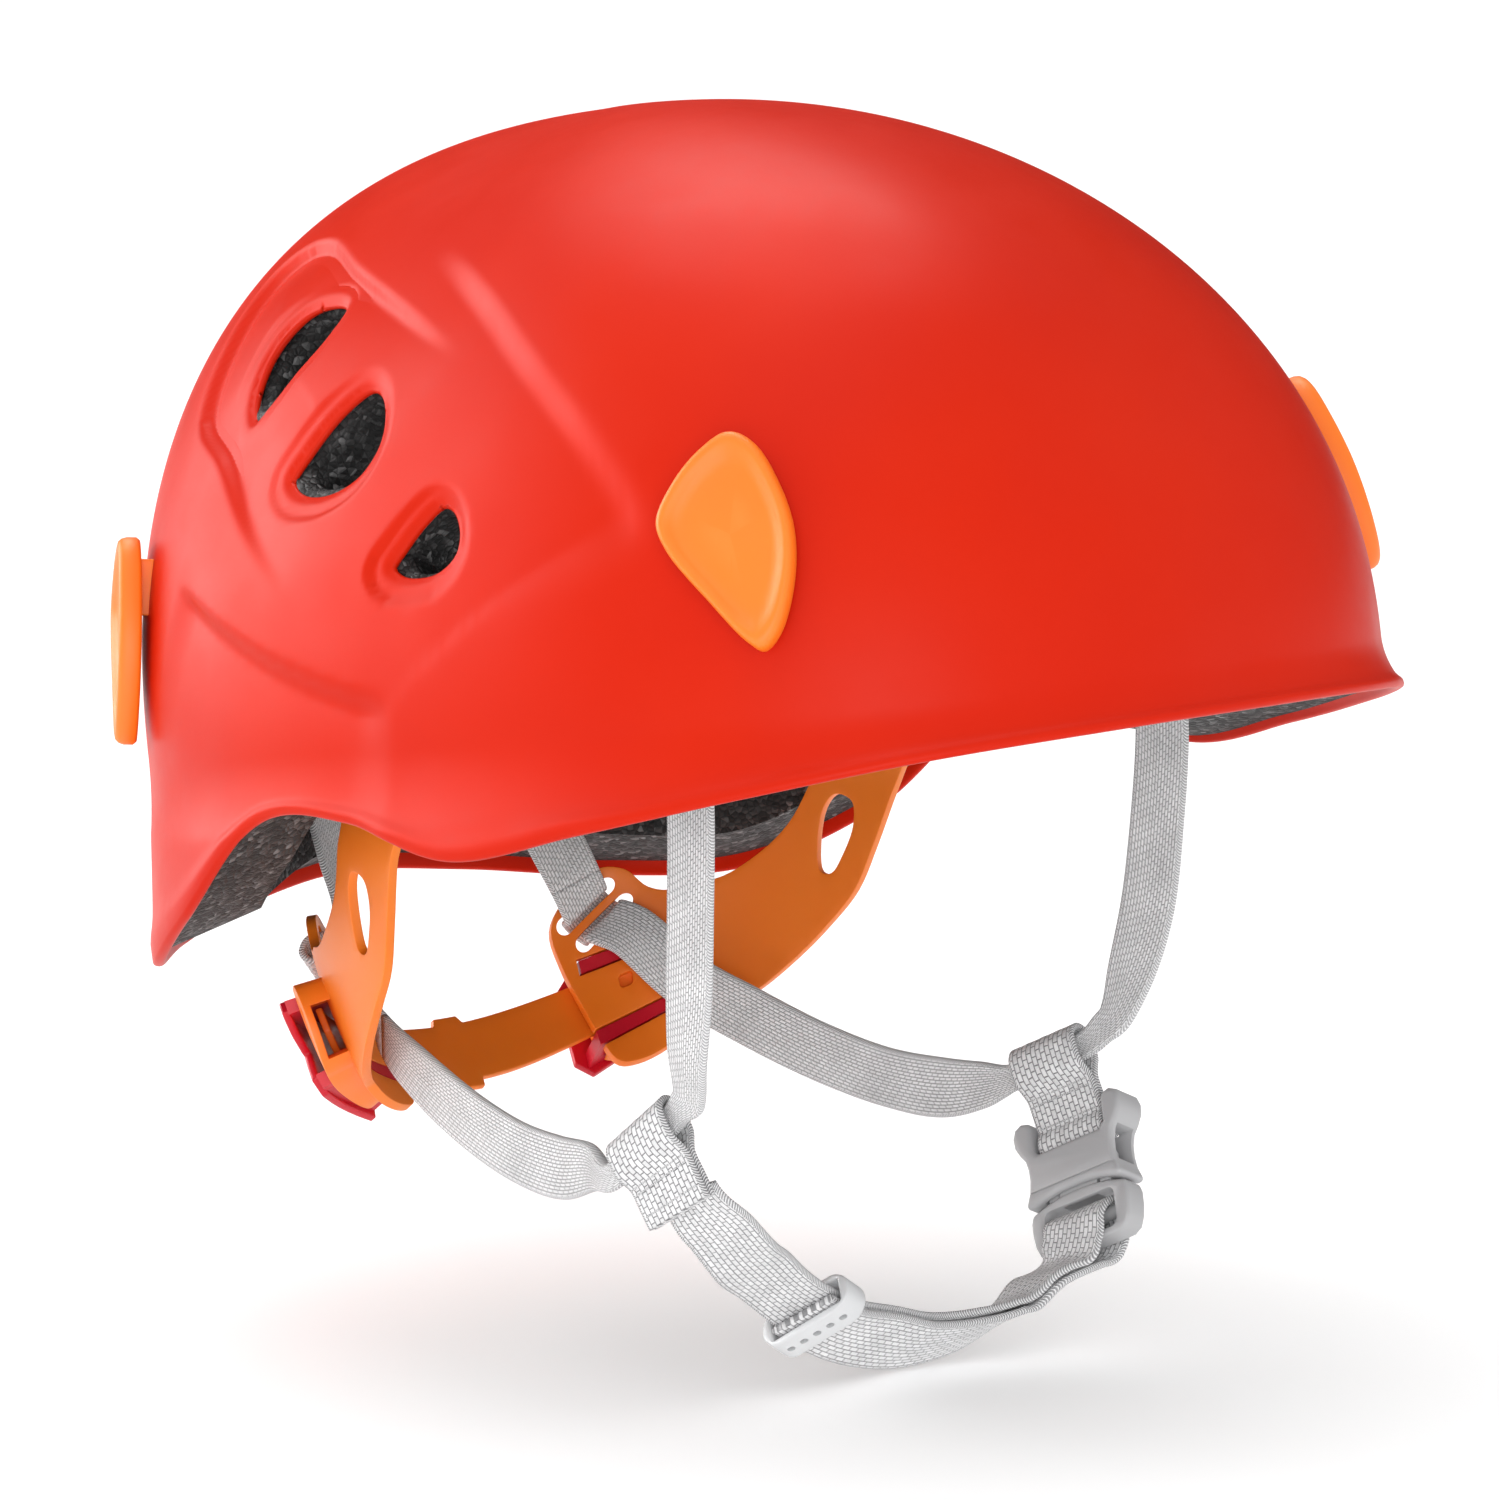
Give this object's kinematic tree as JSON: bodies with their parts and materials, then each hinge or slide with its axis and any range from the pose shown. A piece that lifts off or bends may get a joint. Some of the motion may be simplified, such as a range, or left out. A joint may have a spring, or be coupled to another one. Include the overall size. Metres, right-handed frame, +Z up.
{
  "type": "climbing helmet",
  "caption": "Vented climbing helmet with foam liner, headlamp clips, webbing chin harness with side-release buckle, and tilting, sliding nape cradle.",
  "frame": {"origin": "middle of the head cavity, on the plane of symmetry, level with the cradle's arm studs but for 2 mm", "axes": "+X to the brow, +Y to the wearer's left, +Z up as worn"},
  "size_m": [0.2543, 0.2114, 0.2461],
  "materials": {
    "shell_plastic": "satin red-orange",
    "orange_plastic": "satin orange",
    "red_plastic": "satin red",
    "foam": "expanded foam, fine beads",
    "pad_fabric": "brushed",
    "webbing": "woven",
    "buckle_plastic": "fine grain",
    "keeper_plastic": "satin",
    "dark_plastic": "satin"
  },
  "bodies": {
    "helmet": {"outer_shell": "shell_plastic", "foam_liner": "foam", "brow_pad": "pad_fabric", "crown_pad": "pad_fabric", "lamp_clip_front_left": "orange_plastic", "lamp_clip_front_right": "orange_plastic", "lamp_clip_rear_left": "orange_plastic", "lamp_clip_rear_right": "orange_plastic", "strap_anchor_front_left": "dark_plastic", "strap_anchor_front_right": "dark_plastic", "strap_anchor_rear_left": "dark_plastic", "strap_anchor_rear_right": "dark_plastic", "arm_pivot_left": "dark_plastic", "arm_pivot_right": "dark_plastic", "v_strap_left": "webbing", "v_strap_right": "webbing", "yoke_left": "webbing", "yoke_right": "webbing", "chin_strap": "webbing", "buckle_socket": "buckle_plastic"},
    "cradle": {"nape_band": "orange_plastic"},
    "wing_left": {"cradle_wing_left": "orange_plastic"},
    "wing_right": {"cradle_wing_right": "orange_plastic"},
    "lock_left": {"lock_button_left": "red_plastic"},
    "lock_right": {"lock_button_right": "red_plastic"},
    "plug": {"buckle_plug": "buckle_plastic"},
    "prong_front": {"buckle_prong_front": "buckle_plastic"},
    "prong_rear": {"buckle_prong_rear": "buckle_plastic"},
    "keeper": {"strap_keeper": "keeper_plastic"}
  },
  "joints": [
    {"name": "cradle_tilt", "type": "hinge", "parent": "helmet", "child": "cradle", "pos_m": [-0.019, 0, -0.002], "axis": [0, 1, 0], "range_deg": [-15, 6], "deforming": ["v_strap_left", "v_strap_right"]},
    {"name": "size_left", "type": "slide", "parent": "cradle", "child": "wing_left", "axis": [0.514, 0.764, 0.39], "range_m": [-0.002, 0.0045], "deforming": ["v_strap_left"]},
    {"name": "size_right", "type": "slide", "parent": "cradle", "child": "wing_right", "axis": [0.514, -0.764, 0.39], "range_m": [-0.002, 0.0045], "deforming": ["v_strap_right"]},
    {"name": "lock_press_left", "type": "slide", "parent": "wing_left", "child": "lock_left", "axis": [0.63, -0.644, 0.434], "range_m": [0, 0.0012], "stiffness_N_per_m": 300},
    {"name": "lock_press_right", "type": "slide", "parent": "wing_right", "child": "lock_right", "axis": [0.63, 0.644, 0.434], "range_m": [0, 0.0012], "stiffness_N_per_m": 300},
    {"name": "plug_pull", "type": "slide", "parent": "helmet", "child": "plug", "axis": [0.4697, -0.3654, -0.8036], "range_m": [0, 0.016], "deforming": ["chin_strap"]},
    {"name": "prong_squeeze_front", "type": "hinge", "parent": "plug", "child": "prong_front", "pos_m": [0.0528, 0.0535, -0.0977], "axis": [0.0281, 0.916, -0.4001], "range_deg": [-7, 0], "stiffness_Nm_per_rad": 0.05},
    {"name": "prong_squeeze_rear", "type": "hinge", "parent": "plug", "child": "prong_rear", "pos_m": [0.0415, 0.0514, -0.1033], "axis": [0.0281, 0.916, -0.4001], "range_deg": [0, 7], "stiffness_Nm_per_rad": 0.05},
    {"name": "keeper_slide", "type": "slide", "parent": "helmet", "child": "keeper", "axis": [-0.0175, 0.8817, -0.4714], "range_m": [-0.003, 0.0035]}
  ],
  "couplings": [
    {"joint": "size_right", "follows": "size_left", "ratio": 1}
  ]
}
